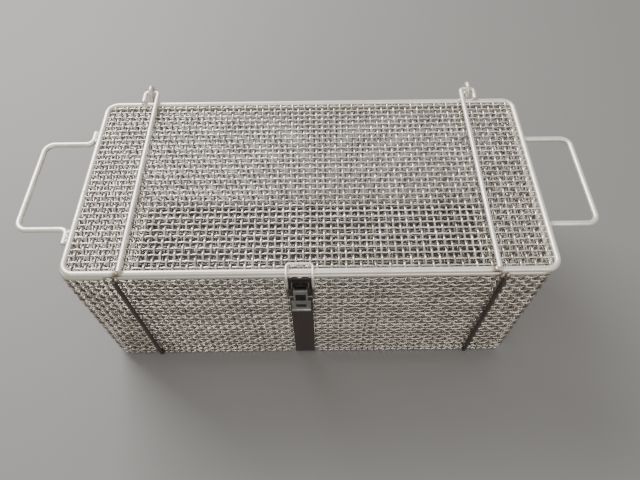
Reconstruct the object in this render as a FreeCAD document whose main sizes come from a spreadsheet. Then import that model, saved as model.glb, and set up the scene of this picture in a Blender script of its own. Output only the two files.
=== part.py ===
import FreeCAD, Part
import math
import os
import re
import Sketcher

# Lidded wash basket in stainless steel wire. X runs along the long side, Y from the front (latch)
# to the back (hinge) and Z up. Every piece is drawn with Y = 0 on the rim's middle; its Placement
# then moves it by originShift, so that the finished basket is centred over the origin on the floor.

SIZES = {
    # rim of the basket and frame of the lid: the same ring of round bar, centreline sizes
    "rimLength": 396.0,
    "rimWidth": 191.0,
    "rimHeight": 158.1,
    "frameBend": 10.0,
    "frameWire": 5.0,
    "lidGap": 0.3,
    "lidShift": 3.0,
    # woven mesh: wire, pitch, the turn of the walls at the upright corners, and the fold along the
    # lower edges, measured inside the weave
    "meshWire": 1.9,
    "meshPitch": 5.9,
    "meshCorner": 6.0,
    "meshFold": 2.4,
    # rods that run down the front, under the basket and up the back, where each ends in an eye
    "skidWire": 4.0,
    "skidRise": 0.8,
    "stemBend": 12.0,
    # rods on the lid, whose back ends turn round through the eyes; the left hinge sits further in
    "lidRodWire": 4.2,
    "lidRodSpacing": 304.0,
    "leftRodInset": 4.2,
    "lidRodOverhang": 1.0,
    "hingeSetback": 12.6,
    "hingeWidth": 12.2,
    "hingeBend": 3.2,
    "eyeGap": 1.2,
    "eyeMouth": 0.3,
    # fixed side handles
    "handleWire": 5.0,
    "handleReach": 49.0,
    "handleSpan": 97.5,
    "handleBend": 9.0,
    "footLength": 15.0,
    "footBend": 6.0,
    # flat strap down the front, which carries the latch
    "strapWidth": 19.5,
    "strapSheet": 1.5,
    "strapBend": 3.0,
    "strapTuck": 22.0,
    "strapRise": 1.0,
    "latchOffset": 5.5,
    # latch base: a plate with two ears, and an opening between them that clears the lever's top
    "baseSheet": 1.2,
    "baseAbove": 9.0,
    "baseBelow": 31.0,
    "earAbove": 6.0,
    "earBelow": 7.0,
    "earFront": 2.2,
    "baseOpening": 7.0,
    "rivetHole": 3.0,
    "rivetHead": 4.4,
    "rivetHeadRise": 0.8,
    "rivetEdge": 2.8,
    # latch lever: a pressed channel with a wider paddle and a finger lip
    "pivotDrop": 11.1,
    "pivotProud": 3.5,
    "pivotPin": 3.0,
    "pivotHead": 4.4,
    "pivotHeadRise": 1.0,
    "pivotGap": 0.05,
    "leverSheet": 1.0,
    "leverWidth": 11.8,
    "leverFace": 2.6,
    "leverTop": 2.0,
    "leverBack": 1.8,
    "leverLength": 31.4,
    "leverSideGap": 0.3,
    "paddleWidth": 16.0,
    "paddleDrop": 16.0,
    "lipRadius": 1.5,
    "windowWidth": 8.6,
    "windowRimTop": 4.0,
    "windowHeight": 11.5,
    "lowerWindowDrop": 21.0,
    "lowerWindowHeight": 6.5,
    # latch bail: one closed loop of wire that reaches over the front bar of the lid
    "bailWire": 2.2,
    "bailSideGap": 1.0,
    "bailBend": 3.0,
    "bailEndBend": 1.8,
    "bailHook": 5.0,
    "bailGap": 0.3,
    "bailPivotDrop": 12.0,
    "bailPivotTuck": 0.3,
    "bailEndStub": 0.4,
}

# Worked out from the driving sizes, in order: a later line may use an earlier one.
DERIVED = {
    "frameR": "frameWire / 2",
    "rimHalfX": "rimLength / 2",
    "rimHalfY": "rimWidth / 2",
    "lidHeight": "rimHeight + frameWire + lidGap",
    "lidLeft": "lidShift - rimHalfX",
    "lidRight": "lidShift + rimHalfX",
    # a plain sheet with the steel of the weave, at the middle of the weave
    "meshSheet": "pi * meshWire ^ 2 / (2 * meshPitch)",
    "wallTop": "rimHeight - frameR",
    "cornerX": "rimHalfX - meshCorner",
    "cornerY": "rimHalfY - meshCorner",
    "floorHalfX": "rimHalfX - meshSheet / 2",
    "floorHalfY": "rimHalfY - meshSheet / 2",
    "floorZ": "skidWire + meshWire",
    # skid rods and the eyes at their back ends
    "skidR": "skidWire / 2",
    "skidBend": "skidR + meshWire + meshFold",
    "skidY": "rimHalfY + frameR + skidR",
    "skidTop": "rimHeight + skidRise",
    "lidRodR": "lidRodWire / 2",
    "lidRodX": "lidRodSpacing / 2",
    "lidRodZ": "lidHeight + frameR + lidRodR",
    "lidRodFront": "-rimHalfY - lidRodOverhang",
    "lidRodEnd": "rimHalfY - lidRodOverhang",
    "hingeY": "rimHalfY + hingeSetback",
    "outerLegX": "lidRodX + hingeWidth",
    "skidX": "lidRodX + hingeWidth / 2",
    "leftLidRodX": "lidRodX - leftRodInset",
    "leftOuterLegX": "outerLegX - leftRodInset",
    "leftSkidX": "skidX - leftRodInset",
    "eyeR": "lidRodR + eyeGap + skidR",
    # handles, in the plane of the rim
    "handleX": "rimHalfX + handleReach",
    "handleY": "handleSpan / 2",
    "footX": "rimHalfX + frameR + handleWire / 2",
    "footY": "handleY + footLength",
    # strap and latch
    "strapBack": "-rimHalfY - frameR",
    "strapFront": "strapBack - strapSheet",
    "strapTop": "rimHeight + strapRise",
    "strapUpper": "skidWire",
    "strapLower": "strapUpper - strapSheet",
    "strapEnd": "strapFront + strapTuck",
    "pivotY": "strapFront - pivotProud",
    "pivotZ": "rimHeight - pivotDrop",
    "baseFront": "strapFront - baseSheet",
    "baseTop": "pivotZ + baseAbove",
    "baseBottom": "pivotZ - baseBelow",
    "earTipY": "pivotY - earFront",
    "earTopZ": "pivotZ + earAbove",
    "earLowZ": "pivotZ - earBelow",
    "baseInner": "leverWidth + 2 * leverSideGap",
    "baseWidth": "baseInner + 2 * baseSheet",
    "rivetTopZ": "baseTop - rivetEdge",
    "rivetLowZ": "baseBottom + rivetEdge",
    "leverFaceY": "pivotY - leverFace",
    "leverInnerY": "leverFaceY + leverSheet",
    "leverBackY": "pivotY + leverBack",
    "leverTopZ": "pivotZ + leverTop",
    "paddleZ": "pivotZ - paddleDrop",
    "lipZ": "pivotZ - leverLength",
    "lipStartZ": "lipZ + leverSheet + lipRadius",
    "lipTipY": "leverFaceY - lipRadius",
    "lipUpperZ": "lipZ + leverSheet",
    "windowTopZ": "pivotZ - windowRimTop",
    "windowLowZ": "windowTopZ - windowHeight",
    "lowerWindowTopZ": "pivotZ - lowerWindowDrop",
    "lowerWindowLowZ": "lowerWindowTopZ - lowerWindowHeight",
    "bailR": "bailWire / 2",
    "bailPivotY": "pivotY + bailPivotTuck",
    "bailPivotZ": "pivotZ - bailPivotDrop",
    "bailX": "baseWidth / 2 + pivotHeadRise + bailSideGap + bailR",
    "bailTopZ": "lidHeight + frameR + bailR + bailGap",
    "bailCrossY": "-rimHalfY + bailHook",
    "bailInnerX": "leverWidth / 2 - leverSheet - bailEndStub",
    "rivetR": "rivetHole / 2",
    "pivotR": "pivotPin / 2",
    "pivotHoleR": "pivotR + pivotGap",
    "bailHoleR": "bailR + pivotGap",
    "leverHalf": "leverWidth / 2",
    "windowHalf": "windowWidth / 2",
    "waistTopZ": "leverTopZ + leverSheet",
    "lipOuterR": "lipRadius + leverSheet",
    "earRootLowZ": "earLowZ - earFront",
    "baseInnerHalf": "baseInner / 2",
    "baseOpeningTopZ": "pivotZ + baseOpening / 2",
    "baseOpeningLowZ": "pivotZ - baseOpening / 2",
    "channelY": "earTipY - baseSheet",
    "lidMeshLeft": "lidLeft + frameR",
    "lidMeshRight": "lidRight - frameR",
    "lidMeshHalfY": "rimHalfY - frameR",
    # the basket's own depth runs from the finger lip to the back of the hinge eyes
    "originShift": "-((hingeY + eyeR + skidR) + lipTipY) / 2",
}

# The stem of an eye leans back just enough to pass the rim and meet the eye without a kink, and the
# eye's wire comes round until its end meets the stem.
ANGLES = {
    "stemTilt": "acos((frameR + skidR + eyeR) / sqrt(hingeSetback ^ 2 + (lidRodZ - rimHeight) ^ 2))"
                " - atan((lidRodZ - rimHeight) / hingeSetback)",
    "eyeTurn": "360 deg - acos((eyeR - skidR - eyeMouth) / (eyeR + skidR))",
}

# The stem of an eye: from its bend at the top of the back run to where it meets the eye.
STEM = {
    "stemTopY": "hingeY - eyeR * cos(stemTilt)",
    "stemTopZ": "lidRodZ + eyeR * sin(stemTilt)",
    "stemLength": "(stemTopY - skidY - stemBend * (1 - cos(stemTilt))) / sin(stemTilt)",
    "stemLowY": "stemTopY - stemLength * sin(stemTilt)",
    "stemLowZ": "stemTopZ - stemLength * cos(stemTilt)",
    "stemStartZ": "stemLowZ - stemBend * sin(stemTilt)",
}

X = FreeCAD.Vector(1, 0, 0)
Y = FreeCAD.Vector(0, 1, 0)
Z = FreeCAD.Vector(0, 0, 1)

doc = FreeCAD.newDocument("WashBasket")

sheet = doc.addObject("Spreadsheet::Sheet", "Sizes")
for row, (alias, number) in enumerate(SIZES.items(), start=1):
    sheet.set(f"A{row}", alias)
    sheet.set(f"B{row}", str(number))
    sheet.setAlias(f"B{row}", alias)
doc.recompute()

derived = doc.addObject("App::VarSet", "Derived")


def spell(formula):
    """Give every named size in a formula the object that holds it."""
    def owner(found):
        word = found.group(0)
        if word in SIZES:
            return "Sizes." + word
        if word in DERIVED or word in STEM or word in ANGLES:
            return "Derived." + word
        return word
    return re.sub(r"[A-Za-z]\w*", owner, formula)


def bind(thing, **formulas):
    """Bind properties to formulas; a double underscore stands for a dot in the property's name."""
    for name, formula in formulas.items():
        thing.setExpression(name.replace("__", "."), spell(formula))


for name, formula in DERIVED.items():
    derived.addProperty("App::PropertyFloat", name, "Sizes")
    bind(derived, **{name: formula})
for name, formula in ANGLES.items():
    derived.addProperty("App::PropertyAngle", name, "Sizes")
    bind(derived, **{name: formula})
for name, formula in STEM.items():
    derived.addProperty("App::PropertyFloat", name, "Sizes")
    bind(derived, **{name: formula})
doc.recompute()


def value(term):
    """The number behind a signed name, such as -rimHalfY, or a plain number."""
    sign = -1.0 if term.startswith("-") else 1.0
    name = term.lstrip("-")
    if name in SIZES:
        return sign * float(sheet.get(name))
    if name in DERIVED or name in STEM:
        return sign * float(getattr(derived, name))
    return sign * float(name)


parts = []


def finish(thing, label, at=("0", "0", "0")):
    """Name a finished piece and put it in its place, centred over the origin."""
    thing.Label = label
    place(thing, at[0], f"{at[1]} + originShift", at[2])
    parts.append(thing)


def place(thing, x, y, z):
    bind(thing, Placement__Base__x=x, Placement__Base__y=y, Placement__Base__z=z)


# ---- round bar: straight runs and bends


def straight(name, start, way, length, wire):
    """A straight run of round bar from start along a direction."""
    run = doc.addObject("Part::Cylinder", name)
    run.Placement.Rotation = FreeCAD.Rotation(Z, way)
    bind(run, Radius=f"{wire} / 2", Height=length)
    place(run, *start)
    return run


def bend(name, centre, start, normal, radius, wire, turn="90"):
    """Part of a ring of round bar, from the start direction round the normal."""
    arc = doc.addObject("Part::Torus", name)
    arc.Placement.Rotation = FreeCAD.Rotation(start, normal.cross(start), normal, "XYZ")
    bind(arc, Radius1=radius, Radius2=f"{wire} / 2", Angle3=turn)
    place(arc, *centre)
    return arc


def lean(piece, axis, tilt):
    """Turn a placed piece further, about an axis, by an angle that follows the sizes."""
    turn = piece.Placement.Rotation
    axes = [f"vector({v.x}; {v.y}; {v.z})" for v in (axis, turn.Axis)]
    bind(piece, Placement__Rotation=f"rotation({axes[0]}; {tilt}) * rotation({axes[1]}; {turn.Angle} rad)")
    return piece


def fuse(name, pieces):
    whole = doc.addObject("Part::MultiFuse", name)
    whole.Shapes = pieces
    return whole


def direction(start, end):
    """Unit vector of a run that goes along one axis."""
    step = FreeCAD.Vector(*(value(b) - value(a) for a, b in zip(start, end)))
    return step.normalize()


def bent_bar(name, corners, bends, wire, closed=False):
    """The runs and bends of a bar through the corners, each rounded to its own radius."""
    count = len(corners)
    runs = count if closed else count - 1
    ways = [direction(corners[i], corners[(i + 1) % count]) for i in range(runs)]
    pieces = []
    for i, way in enumerate(ways):
        start, end = corners[i], corners[(i + 1) % count]
        before, after = bends[i], bends[(i + 1) % count]
        axis = max(range(3), key=lambda k: abs(way[k]))
        base = list(start)
        base[axis] = f"{start[axis]} + ({round(way[axis])}) * {before}"
        length = f"abs(({end[axis]}) - ({start[axis]})) - {before} - {after}"
        pieces.append(straight(f"{name}Run{i}", base, way, length, wire))
    for i in range(count):
        if not closed and i in (0, count - 1):
            continue
        into, out = ways[i - 1], ways[i % runs]
        centre = [f"{corners[i][k]} + ({round(out[k] - into[k])}) * {bends[i]}" for k in range(3)]
        pieces.append(bend(f"{name}Bend{i}", centre, -out, into.cross(out), bends[i], wire))
    return pieces


# ---- flat pieces: boxes, sketches, pads and pockets


def box(name, x, y, z):
    """A block between two limits along each axis, not yet placed."""
    solid = doc.addObject("Part::Box", name)
    bind(solid, Length=f"({x[1]}) - ({x[0]})", Width=f"({y[1]}) - ({y[0]})",
         Height=f"({z[1]}) - ({z[0]})")
    return solid


def panel(label, x, y, z):
    """A plain sheet that is a sub-part by itself."""
    finish(box(label.title().replace("_", ""), x, y, z), label, at=(x[0], y[0], z[0]))


def sketch_on(body, name, role):
    sketch = body.newObject("Sketcher::SketchObject", name)
    plane = next(f for f in body.Origin.OriginFeatures if f.Role == role)
    sketch.AttachmentSupport = (plane, [""])
    sketch.MapMode = "FlatFace"
    return sketch


def hold(sketch, kind, term, *where):
    """A dimension bound to a formula."""
    index = sketch.addConstraint(Sketcher.Constraint(kind, *where, value(term)))
    sketch.setExpression(f"Constraints[{index}]", spell(term))


def fix_point(sketch, geometry, end, across, up):
    """Hold a point at two named distances from the sketch's origin."""
    hold(sketch, "DistanceX", across, -1, 1, geometry, end)
    hold(sketch, "DistanceY", up, -1, 1, geometry, end)


def outline(sketch, points):
    """A closed outline of straight lines through named points."""
    spots = [FreeCAD.Vector(value(across), value(up), 0) for across, up in points]
    first = sketch.GeometryCount
    count = len(spots)
    for i in range(count):
        sketch.addGeometry(Part.LineSegment(spots[i], spots[(i + 1) % count]), False)
    for i in range(count):
        sketch.addConstraint(Sketcher.Constraint("Coincident", first + i, 2, first + (i + 1) % count, 1))
    for i, (across, up) in enumerate(points):
        fix_point(sketch, first + i, 1, across, up)


def rectangle(sketch, left, right, low, high):
    outline(sketch, [(left, low), (right, low), (right, high), (left, high)])


def circle(sketch, across, up, radius):
    spot = FreeCAD.Vector(value(across), value(up), 0)
    index = sketch.addGeometry(Part.Circle(spot, Z, value(radius)), False)
    fix_point(sketch, index, 3, across, up)
    hold(sketch, "Radius", radius, index)


def pad(body, sketch, width):
    """Material to both sides of the sketch."""
    feature = body.newObject("PartDesign::Pad", sketch.Name + "Pad")
    feature.Profile = sketch
    feature.Midplane = True
    bind(feature, Length=width)
    doc.recompute()
    return feature


def pocket(body, sketch, width=None):
    """A cut to both sides of the sketch: a stated width, or right through."""
    before = body.Shape.Volume
    feature = body.newObject("PartDesign::Pocket", sketch.Name + "Pocket")
    feature.Profile = sketch
    feature.Midplane = True
    if width is None:
        feature.Type = "ThroughAll"
    else:
        bind(feature, Length=width)
    doc.recompute()
    if not body.Shape.Volume < before:
        raise RuntimeError(f"{sketch.Name} cut nothing")
    return feature


# ---- the basket and its lid


def make_frames():
    for name, label, left, right, height in (
            ("RimFrame", "rim_frame", "-rimHalfX", "rimHalfX", "rimHeight"),
            ("LidFrame", "lid_frame", "lidLeft", "lidRight", "lidHeight")):
        corners = [(left, "-rimHalfY", height), (right, "-rimHalfY", height),
                   (right, "rimHalfY", height), (left, "rimHalfY", height)]
        bars = bent_bar(name, corners, ["frameBend"] * 4, "frameWire", closed=True)
        finish(fuse(name, bars), label)


def make_mesh_floor():
    rounded_sheet("MeshBottom", "mesh_bottom", "-floorHalfX", "floorHalfX", "floorHalfY",
                  "meshCorner - meshSheet / 2", "floorZ")


def make_mesh_walls():
    """The walls hang from the rim. The front and back ones turn the basket's upright corners, and the
    side ones fit between them."""
    wall = ("floorZ - meshSheet / 2", "wallTop")
    in_x = ("-cornerX", "cornerX")
    in_y = ("-cornerY", "cornerY")
    panel("mesh_left", ("-rimHalfX - meshSheet / 2", "-rimHalfX + meshSheet / 2"), in_y, wall)
    panel("mesh_right", ("rimHalfX - meshSheet / 2", "rimHalfX + meshSheet / 2"), in_y, wall)
    for side, sign, low, high in (("front", "-", "-rimHalfY - meshSheet / 2", "-rimHalfY + meshSheet / 2"),
                                  ("back", "", "rimHalfY - meshSheet / 2", "rimHalfY + meshSheet / 2")):
        name = "Mesh" + side.title()
        pieces = [box(name + "Flat", in_x, (low, high), wall)]
        place(pieces[0], in_x[0], low, wall[0])
        for end, across, turn in (("Left", "-cornerX", 180), ("Right", "cornerX", 270)):
            turn = turn if side == "front" else 270 - turn
            pieces.append(quarter_tube(name + end, (across, f"{sign}cornerY", wall[0]), turn, wall))
        finish(fuse(name, pieces), f"mesh_{side}")


def quarter_tube(name, centre, turn, height):
    """A quarter of a thin tube, as tall as the walls, that starts at an angle from X."""
    rounds = []
    for layer, radius in (("Outer", "meshCorner + meshSheet / 2"), ("Inner", "meshCorner - meshSheet / 2")):
        solid = doc.addObject("Part::Cylinder", name + layer)
        solid.Angle = 90
        solid.Placement.Rotation = FreeCAD.Rotation(Z, turn)
        bind(solid, Radius=radius, Height=f"({height[1]}) - ({height[0]})")
        place(solid, *centre)
        rounds.append(solid)
    shell = doc.addObject("Part::Cut", name)
    shell.Base, shell.Tool = rounds
    return shell


def rounded_sheet(name, label, left, right, half_y, corner, height):
    """One flat sheet of mesh with rounded corners."""
    body = doc.addObject("PartDesign::Body", name)
    sketch = sketch_on(body, name + "Outline", "XY_Plane")
    rectangle(sketch, left, right, f"-{half_y}", half_y)
    base = pad(body, sketch, "meshSheet")
    upright = [f"Edge{i}" for i, edge in enumerate(base.Shape.Edges, start=1)
               if abs(edge.tangentAt(edge.FirstParameter).z) > 0.9]
    rounding = body.newObject("PartDesign::Fillet", name + "Corners")
    rounding.Base = (base, upright)
    bind(rounding, Radius=corner)
    finish(body, label, at=("0", "0", height))


def make_lid_mesh():
    rounded_sheet("LidMesh", "lid_mesh", "lidMeshLeft", "lidMeshRight", "lidMeshHalfY",
                  "frameBend - frameR", "lidHeight")


def make_skid_rods():
    """Down the front, under the basket, up the back, then a stem that leans back into an eye."""
    for side, across in (("left", "-leftSkidX"), ("right", "skidX")):
        name = "Skid" + side.title()
        corners = [(across, "-skidY", "skidTop"), (across, "-skidY", "skidR"),
                   (across, "skidY", "skidR"), (across, "skidY", "stemStartZ")]
        bars = bent_bar(name, corners, ["0", "skidBend", "skidBend", "0"], "skidWire")
        bars.append(bend(name + "Lean", (across, "skidY + stemBend", "stemStartZ"), -Y, -X,
                         "stemBend", "skidWire", turn="stemTilt"))
        stem = straight(name + "Stem", (across, "stemLowY", "stemLowZ"), Z, "stemLength", "skidWire")
        eye = bend(name + "Eye", (across, "hingeY", "lidRodZ"), -Y, -X, "eyeR", "skidWire", turn="eyeTurn")
        bars += [lean(stem, -X, "stemTilt"), lean(eye, -X, "stemTilt")]
        finish(fuse(name, bars), f"skid_rod_{side}")


def make_lid_rods():
    """Across the top of the lid, then back, outward and forward again through the eye."""
    for side, near, far in (("left", "-leftLidRodX", "-leftOuterLegX"),
                            ("right", "lidRodX", "outerLegX")):
        name = "LidRod" + side.title()
        corners = [(near, "lidRodFront", "lidRodZ"), (near, "hingeY", "lidRodZ"),
                   (far, "hingeY", "lidRodZ"), (far, "lidRodEnd", "lidRodZ")]
        bars = bent_bar(name, corners, ["0", "hingeBend", "hingeBend", "0"], "lidRodWire")
        finish(fuse(name, bars), f"lid_rod_{side}")


def make_handles():
    """A fixed loop each side, its feet turned outward along the rim."""
    for side, foot, grip in (("left", "-footX", "-handleX"), ("right", "footX", "handleX")):
        name = "Handle" + side.title()
        corners = [(foot, "-footY", "rimHeight"), (foot, "-handleY", "rimHeight"),
                   (grip, "-handleY", "rimHeight"), (grip, "handleY", "rimHeight"),
                   (foot, "handleY", "rimHeight"), (foot, "footY", "rimHeight")]
        bends = ["0", "footBend", "handleBend", "handleBend", "footBend", "0"]
        finish(fuse(name, bent_bar(name, corners, bends, "handleWire")), f"handle_{side}")


# ---- the strap and the latch, drawn about the latch's own middle

AT_LATCH = ("-latchOffset", "0", "0")


def make_strap():
    """Flat strip from the rim down the front, folded a short way under the basket."""
    body = doc.addObject("PartDesign::Body", "FrontStrap")
    side = sketch_on(body, "StrapSide", "YZ_Plane")
    outline(side, [("strapFront", "strapTop"), ("strapFront", "strapLower"), ("strapEnd", "strapLower"),
                   ("strapEnd", "strapUpper"), ("strapBack", "strapUpper"), ("strapBack", "strapTop")])
    base = pad(body, side, "strapWidth")
    bends = {"strapBend": ("strapBack", "strapUpper"), "strapBend + strapSheet": ("strapFront", "strapLower")}
    tip = base
    for radius, (across, up) in bends.items():
        edge = corner_edge(tip.Shape, value(across), value(up))
        fold = body.newObject("PartDesign::Fillet", "StrapFold")
        fold.Base = (tip, [edge])
        bind(fold, Radius=radius)
        doc.recompute()
        tip = fold
    pocket(body, rivet_holes(body, "StrapRivets"))
    finish(body, "front_strap", at=AT_LATCH)


def corner_edge(shape, y, z):
    """The edge along X that passes through a corner of the side outline."""
    for i, edge in enumerate(shape.Edges, start=1):
        middle = edge.CenterOfMass
        if abs(middle.y - y) < 0.01 and abs(middle.z - z) < 0.01 and abs(middle.x) < 0.01:
            return f"Edge{i}"
    raise RuntimeError("corner edge not found")


def rivet_holes(body, name):
    sketch = sketch_on(body, name, "XZ_Plane")
    for up in ("rivetTopZ", "rivetLowZ"):
        circle(sketch, "0", up, "rivetR")
    return sketch


def make_latch_base():
    """A plate on the strap with two ears that hold the lever's pin."""
    body = doc.addObject("PartDesign::Body", "LatchBase")
    plate = sketch_on(body, "BasePlate", "YZ_Plane")
    rectangle(plate, "baseFront", "strapFront", "baseBottom", "baseTop")
    pad(body, plate, "baseWidth")
    ears = sketch_on(body, "BaseEars", "YZ_Plane")
    outline(ears, [("strapFront", "earRootLowZ"), ("earTipY", "earLowZ"),
                   ("earTipY", "earTopZ"), ("strapFront", "baseTop")])
    pad(body, ears, "baseWidth")
    channel = sketch_on(body, "BaseChannel", "YZ_Plane")
    rectangle(channel, "channelY", "baseFront", "baseBottom", "baseTop")
    pocket(body, channel, "baseInner")
    opening = sketch_on(body, "BaseOpening", "XZ_Plane")
    rectangle(opening, "-baseInnerHalf", "baseInnerHalf", "baseOpeningLowZ", "baseOpeningTopZ")
    pocket(body, opening)
    pin_hole = sketch_on(body, "BasePinHole", "YZ_Plane")
    circle(pin_hole, "pivotY", "pivotZ", "pivotR")
    pocket(body, pin_hole)
    pocket(body, rivet_holes(body, "BaseRivets"))
    finish(body, "latch_base", at=AT_LATCH)


def make_latch_lever():
    """A channel that turns between the ears, widened below into a paddle with a finger lip."""
    body = doc.addObject("PartDesign::Body", "LatchLever")
    face = sketch_on(body, "LeverFace", "YZ_Plane")
    lever_profile(face)
    pad(body, face, "paddleWidth")
    flanges = sketch_on(body, "LeverFlanges", "YZ_Plane")
    rectangle(flanges, "leverInnerY", "leverBackY", "paddleZ", "leverTopZ")
    pad(body, flanges, "leverWidth")
    hollow = sketch_on(body, "LeverHollow", "YZ_Plane")
    rectangle(hollow, "leverInnerY", "leverBackY", "paddleZ", "leverTopZ")
    pocket(body, hollow, "leverWidth - 2 * leverSheet")
    waist = sketch_on(body, "LeverWaist", "XZ_Plane")
    rectangle(waist, "-paddleWidth", "-leverHalf", "paddleZ", "waistTopZ")
    rectangle(waist, "leverHalf", "paddleWidth", "paddleZ", "waistTopZ")
    pocket(body, waist)
    windows = sketch_on(body, "LeverWindows", "XZ_Plane")
    rectangle(windows, "-windowHalf", "windowHalf", "windowLowZ", "windowTopZ")
    rectangle(windows, "-windowHalf", "windowHalf", "lowerWindowLowZ", "lowerWindowTopZ")
    pocket(body, windows)
    holes = sketch_on(body, "LeverHoles", "YZ_Plane")
    circle(holes, "pivotY", "pivotZ", "pivotHoleR")
    circle(holes, "bailPivotY", "bailPivotZ", "bailHoleR")
    pocket(body, holes)
    finish(body, "latch_lever", at=AT_LATCH)


def lever_profile(sketch):
    """Side outline of the pressed face: flat, then curling forward into the lip."""
    ends = [("leverFaceY", "leverTopZ"), ("leverFaceY", "lipStartZ"), ("lipTipY", "lipUpperZ"),
            ("lipTipY", "lipZ"), ("leverInnerY", "lipStartZ"), ("leverInnerY", "leverTopZ")]
    spots = [FreeCAD.Vector(value(across), value(up), 0) for across, up in ends]
    middle = FreeCAD.Vector(value("lipTipY"), value("lipStartZ"), 0)
    quarter = 1.5 * math.pi, 2 * math.pi
    inner = Part.ArcOfCircle(Part.Circle(middle, Z, value("lipRadius")), *quarter)
    outer = Part.ArcOfCircle(Part.Circle(middle, Z, value("lipOuterR")), *quarter)
    sketch.addGeometry(Part.LineSegment(spots[0], spots[1]), False)
    sketch.addGeometry(inner, False)
    sketch.addGeometry(Part.LineSegment(spots[2], spots[3]), False)
    sketch.addGeometry(outer, False)
    sketch.addGeometry(Part.LineSegment(spots[4], spots[5]), False)
    sketch.addGeometry(Part.LineSegment(spots[5], spots[0]), False)
    for first, first_end, second, second_end in ((0, 2, 1, 2), (1, 1, 2, 1), (2, 2, 3, 1),
                                                 (3, 2, 4, 1), (4, 2, 5, 1), (5, 2, 0, 1)):
        sketch.addConstraint(Sketcher.Constraint("Coincident", first, first_end, second, second_end))
    sketch.addConstraint(Sketcher.Constraint("Coincident", 1, 3, 3, 3))
    fix_point(sketch, 0, 1, *ends[0])
    fix_point(sketch, 0, 2, *ends[1])
    fix_point(sketch, 2, 1, *ends[2])
    fix_point(sketch, 2, 2, *ends[3])
    fix_point(sketch, 4, 2, *ends[5])
    hold(sketch, "DistanceY", ends[4][1], -1, 1, 4, 1)
    hold(sketch, "Radius", "lipRadius", 1)


def make_latch_bail():
    """Loop of wire: up the sides of the lever, over the lid's front bar and across behind it."""
    corners = [("-bailInnerX", "bailPivotY", "bailPivotZ"), ("-bailX", "bailPivotY", "bailPivotZ"),
               ("-bailX", "bailPivotY", "bailTopZ"), ("-bailX", "bailCrossY", "bailTopZ"),
               ("bailX", "bailCrossY", "bailTopZ"), ("bailX", "bailPivotY", "bailTopZ"),
               ("bailX", "bailPivotY", "bailPivotZ"), ("bailInnerX", "bailPivotY", "bailPivotZ")]
    bends = ["0", "bailEndBend"] + ["bailBend"] * 4 + ["bailEndBend", "0"]
    finish(fuse("LatchBail", bent_bar("Bail", corners, bends, "bailWire")), "latch_bail", at=AT_LATCH)


def make_pivot_pin():
    """Headed pin through both ears and the lever."""
    shank = straight("PinShank", ("-baseWidth / 2", "pivotY", "pivotZ"), X, "baseWidth", "pivotPin")
    heads = [straight("PinHeadLeft", ("-baseWidth / 2 - pivotHeadRise", "pivotY", "pivotZ"), X,
                      "pivotHeadRise", "pivotHead"),
             straight("PinHeadRight", ("baseWidth / 2", "pivotY", "pivotZ"), X, "pivotHeadRise", "pivotHead")]
    finish(fuse("PivotPin", [shank] + heads), "latch_pivot_pin", at=AT_LATCH)


def make_rivets():
    """Two rivets hold the latch base on the strap."""
    for name, up in (("upper", "rivetTopZ"), ("lower", "rivetLowZ")):
        title = "Rivet" + name.title()
        shank = straight(title + "Shank", ("0", "baseFront", up), Y, "baseSheet + strapSheet", "rivetHole")
        front = straight(title + "Front", ("0", "baseFront - rivetHeadRise", up), Y, "rivetHeadRise", "rivetHead")
        back = straight(title + "Back", ("0", "strapBack", up), Y, "rivetHeadRise", "rivetHead")
        finish(fuse(title, [shank, front, back]), f"latch_rivet_{name}", at=AT_LATCH)


for make in (make_frames, make_mesh_floor, make_mesh_walls, make_lid_mesh, make_skid_rods, make_lid_rods, make_handles,
             make_strap, make_latch_base, make_latch_lever, make_latch_bail, make_pivot_pin, make_rivets):
    make()

doc.recompute()
for thing in doc.Objects:
    if "Invalid" in thing.State or "Error" in thing.State:
        raise RuntimeError(f"{thing.Label} did not recompute: {thing.State}")

os.makedirs("parts", exist_ok=True)
for piece in parts:
    shape = piece.Shape
    if shape.isNull() or not shape.isValid() or not shape.Solids:
        raise RuntimeError(f"{piece.Label} has no valid solid")
    shape.exportStep(f"parts/{piece.Label}.step")
    box = shape.BoundBox
    print(f"{piece.Label:18s} solids {len(shape.Solids)}  volume {shape.Volume:10.1f}  "
          f"X {box.XMin:8.2f} {box.XMax:8.2f}  Y {box.YMin:8.2f} {box.YMax:8.2f}  "
          f"Z {box.ZMin:7.2f} {box.ZMax:7.2f}")
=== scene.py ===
import math
import bmesh
import bpy
from mathutils import Matrix, Vector


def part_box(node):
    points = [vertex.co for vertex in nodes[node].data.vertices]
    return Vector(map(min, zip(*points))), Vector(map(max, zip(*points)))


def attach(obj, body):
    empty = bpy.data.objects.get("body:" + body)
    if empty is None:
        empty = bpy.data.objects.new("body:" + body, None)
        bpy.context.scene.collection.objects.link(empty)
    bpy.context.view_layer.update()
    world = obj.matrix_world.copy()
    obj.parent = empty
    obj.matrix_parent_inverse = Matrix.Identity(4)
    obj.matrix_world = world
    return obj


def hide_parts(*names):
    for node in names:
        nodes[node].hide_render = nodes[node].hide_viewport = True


# A lidded wash basket of woven stainless wire. Lengths in the dictionaries are millimetres.
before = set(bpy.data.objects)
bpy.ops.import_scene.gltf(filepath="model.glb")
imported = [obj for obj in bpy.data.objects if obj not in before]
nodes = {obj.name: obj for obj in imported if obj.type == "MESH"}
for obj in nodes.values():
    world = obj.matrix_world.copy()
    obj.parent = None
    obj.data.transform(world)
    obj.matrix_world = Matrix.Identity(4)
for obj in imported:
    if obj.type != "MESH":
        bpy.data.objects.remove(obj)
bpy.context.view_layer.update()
scene = bpy.context.scene
mm = 0.001
print("frame loaded:", len(nodes), "nodes")

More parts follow.
